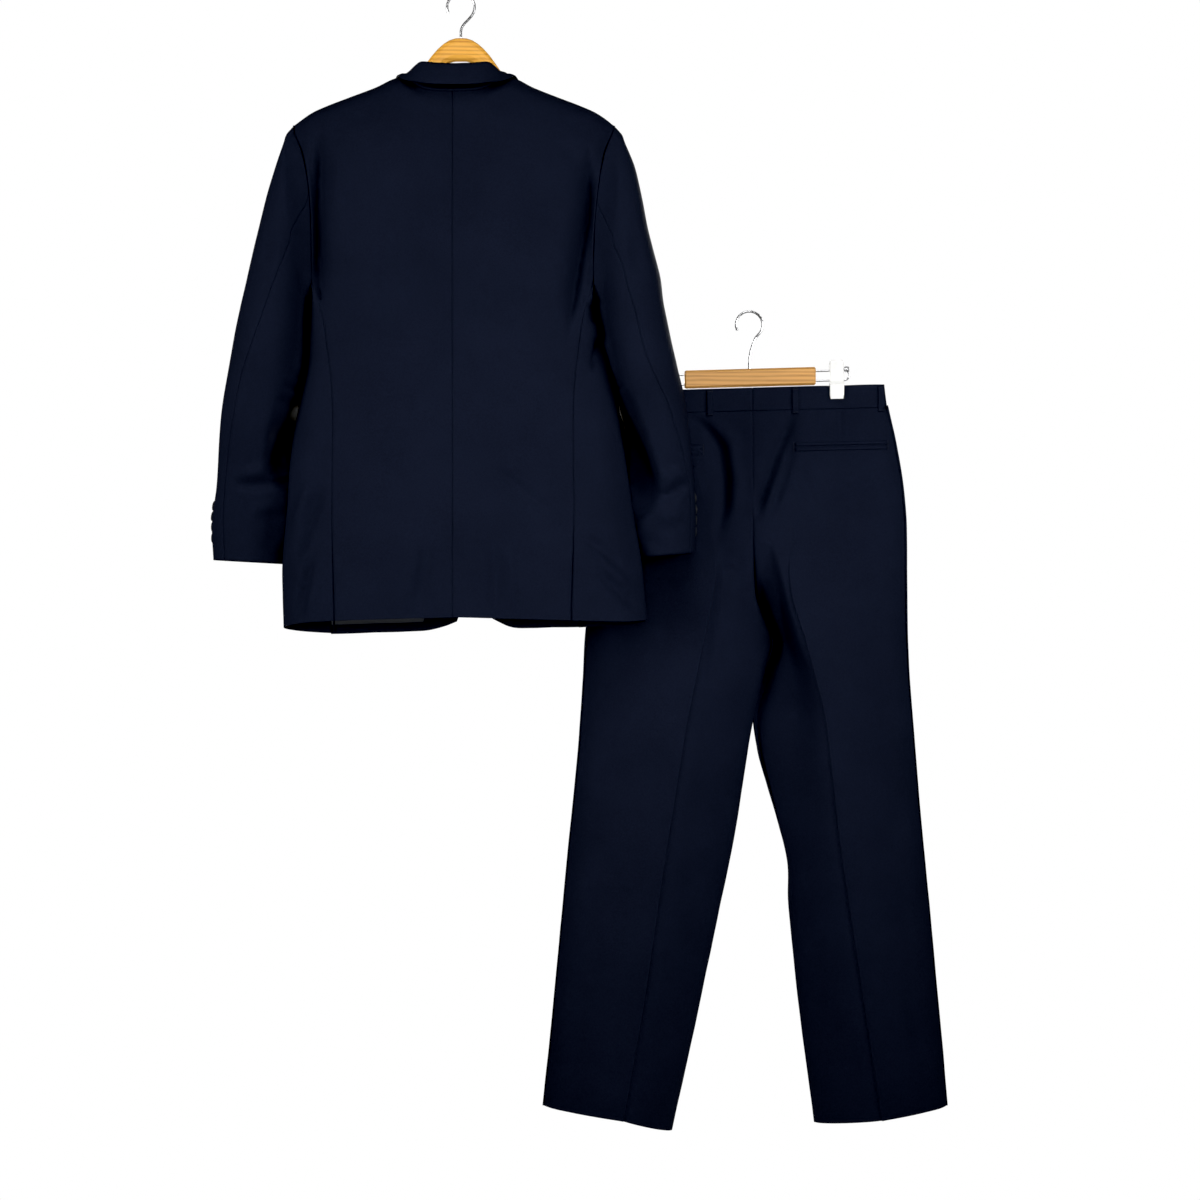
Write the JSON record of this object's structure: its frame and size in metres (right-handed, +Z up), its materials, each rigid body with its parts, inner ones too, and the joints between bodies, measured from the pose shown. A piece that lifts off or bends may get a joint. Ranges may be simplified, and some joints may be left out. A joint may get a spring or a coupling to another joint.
{
  "type": "two-piece suit on a jacket hanger and a clip hanger",
  "caption": "Two-button jacket with notched lapels on a wooden hanger, and its trousers on a clip hanger beside it.",
  "frame": {"origin": "the inner crown of the jacket hanger's hook, where it hangs on a rail", "axes": "+Z up, +X towards the trousers, -Y out of the suit's back, which the picture shows"},
  "size_m": [1.0765, 0.2342, 1.6533],
  "materials": {
    "suiting": "fine dark navy worsted wool",
    "button": "near-black, softly polished",
    "wood": "golden, satin varnish",
    "steel": "bright plated wire",
    "clip": "white, smooth"
  },
  "bodies": {
    "root": {"belt_loop_back_left": "suiting", "belt_loop_back_right": "suiting", "belt_loop_front_left": "suiting", "belt_loop_front_right": "suiting", "belt_loop_side_left": "suiting", "belt_loop_side_right": "suiting", "breast_welt": "suiting", "clip_left_back": "clip", "clip_left_front": "clip", "clip_right_back": "clip", "clip_right_front": "clip", "collar": "suiting", "cuff_button_left_1": "button", "cuff_button_left_2": "button", "cuff_button_left_3": "button", "cuff_button_left_4": "button", "cuff_button_right_1": "button", "cuff_button_right_2": "button", "cuff_button_right_3": "button", "cuff_button_right_4": "button", "front_button_1": "button", "front_button_2": "button", "front_pocket_edge_left": "suiting", "front_pocket_edge_right": "suiting", "hip_flap_left": "suiting", "hip_flap_right": "suiting", "jacket_back_left": "suiting", "jacket_back_right": "suiting", "jacket_front_left": "suiting", "jacket_front_right": "suiting", "jacket_hanger_hook": "steel", "jacket_hanger_wood": "wood", "jacket_side_left": "suiting", "jacket_side_right": "suiting", "lapel_left": "suiting", "lapel_right": "suiting", "pocket_jets_left": "suiting", "pocket_jets_right": "suiting", "pocket_tab_left": "suiting", "sleeve_top_left": "suiting", "sleeve_top_right": "suiting", "sleeve_under_left": "suiting", "sleeve_under_right": "suiting", "trouser_back_left_lower": "suiting", "trouser_back_left_upper": "suiting", "trouser_back_right_lower": "suiting", "trouser_back_right_upper": "suiting", "trouser_front_left_lower": "suiting", "trouser_front_left_upper": "suiting", "trouser_front_right_lower": "suiting", "trouser_front_right_upper": "suiting", "trouser_hanger_bar": "wood", "trouser_hanger_hook": "steel", "trouser_hanger_rods": "steel", "vent_underlap_left": "suiting", "vent_underlap_right": "suiting", "waist_tab": "suiting", "waistband_left": "suiting", "waistband_right": "suiting"}
  },
  "joints": []
}
